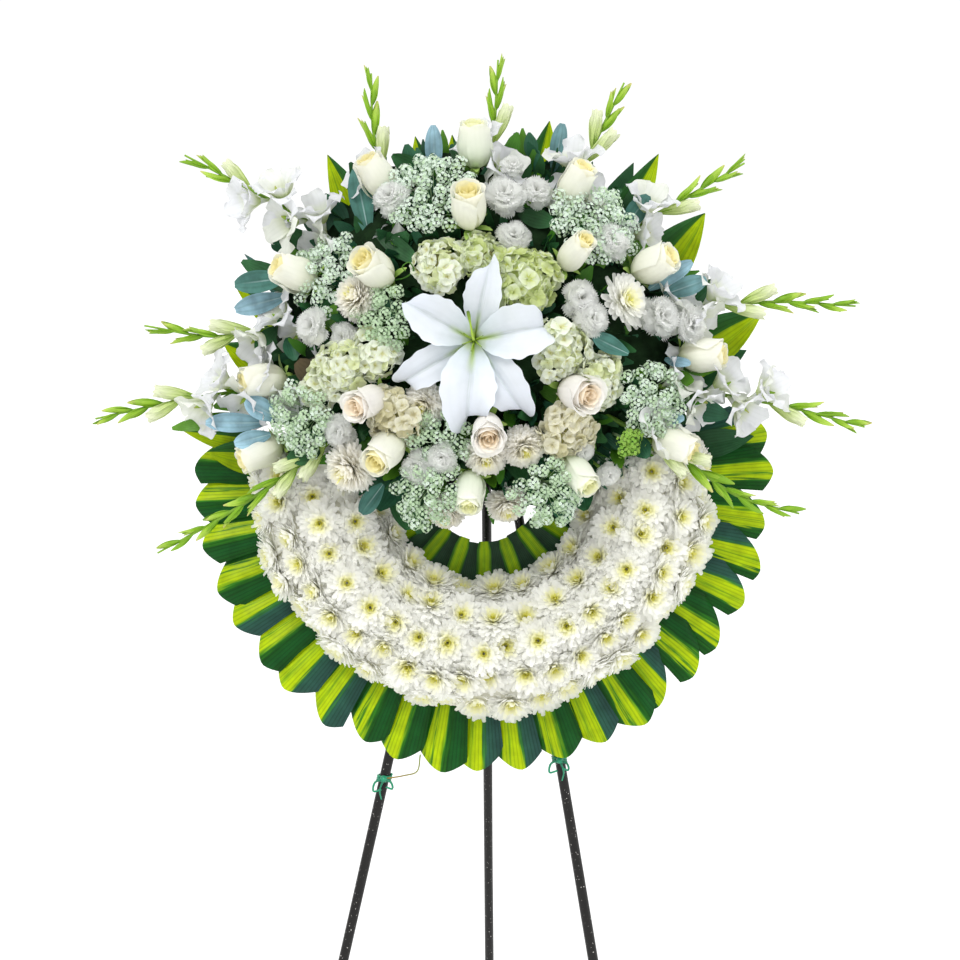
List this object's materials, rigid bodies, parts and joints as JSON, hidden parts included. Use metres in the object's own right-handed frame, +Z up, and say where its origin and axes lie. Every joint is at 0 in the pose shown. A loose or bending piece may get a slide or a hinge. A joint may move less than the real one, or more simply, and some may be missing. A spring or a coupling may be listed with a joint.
{
  "type": "funeral wreath",
  "caption": "Standing funeral wreath on a wooden tripod: a leaf-collared ring of white chrysanthemums under a radiating spray of lily, roses and gladioli.",
  "frame": {"origin": "on the floor, under the middle of the whole object's box", "axes": "+Z up, the wreath's face looks along -Y and leans back by 10 degrees, +X to the viewer's right"},
  "size_m": [0.9794, 0.5952, 1.7386],
  "materials": {
    "pole": "glossy black paint with small light scuffs",
    "wire": "dull black binding wire",
    "tie": "emerald green soft plastic",
    "former": "moss-green wrapped former",
    "foam": "fine open-cell wet floral foam",
    "greenery": "mixed dark green foliage",
    "collar_leaf": "waxy leaf, dark margins and a lime centre band",
    "chrysanthemum": "white petals, yellow-green centre",
    "carnation": "white fringed petals",
    "rose": "cream velvety petals",
    "lily": "waxy white petals, lime-green throat",
    "gladiolus": "lime-green buds, thin white ruffled petals",
    "hydrangea": "cream to yellow-green sepals",
    "lace": "tiny pale green and white florets"
  },
  "bodies": {
    "root": {"pole_left": "pole", "pole_right": "pole", "pole_rear": "pole", "apex_lashing": "wire", "tie_left": "tie", "tie_right": "tie", "ring_base": "former", "floral_foam": "foam", "foliage_mound": "greenery", "leaf_collar_left": "collar_leaf", "leaf_collar_bottom": "collar_leaf", "leaf_collar_right": "collar_leaf", "leaf_collar_inner": "collar_leaf", "upper_leaves_left": "collar_leaf", "upper_leaves_right": "collar_leaf", "mum_bed_left": "chrysanthemum", "mum_bed_bottom": "chrysanthemum", "mum_bed_right": "chrysanthemum", "mum_large_upper": "chrysanthemum", "mum_large_lower": "chrysanthemum", "carnation_right_1": "carnation", "carnation_right_2": "carnation", "rose_01": "rose", "rose_02": "rose", "rose_03": "rose", "rose_04": "rose", "rose_05": "rose", "rose_06": "rose", "rose_07": "rose", "rose_08": "rose", "rose_09": "rose", "rose_10": "rose", "rose_11": "rose", "rose_12": "rose", "rose_13": "rose", "rose_14": "rose", "rose_15": "rose", "rose_16": "rose", "rose_17": "rose", "rose_18": "rose", "lily": "lily", "gladiolus_01": "gladiolus", "gladiolus_02": "gladiolus", "gladiolus_03": "gladiolus", "gladiolus_04": "gladiolus", "gladiolus_05": "gladiolus", "gladiolus_06": "gladiolus", "gladiolus_07": "gladiolus", "gladiolus_08": "gladiolus", "gladiolus_09": "gladiolus", "gladiolus_10": "gladiolus", "gladiolus_11": "gladiolus", "hydrangea_01": "hydrangea", "hydrangea_02": "hydrangea", "hydrangea_03": "hydrangea", "hydrangea_04": "hydrangea", "umbel_01": "lace", "umbel_02": "lace", "umbel_03": "lace", "umbel_04": "lace"}
  },
  "joints": []
}
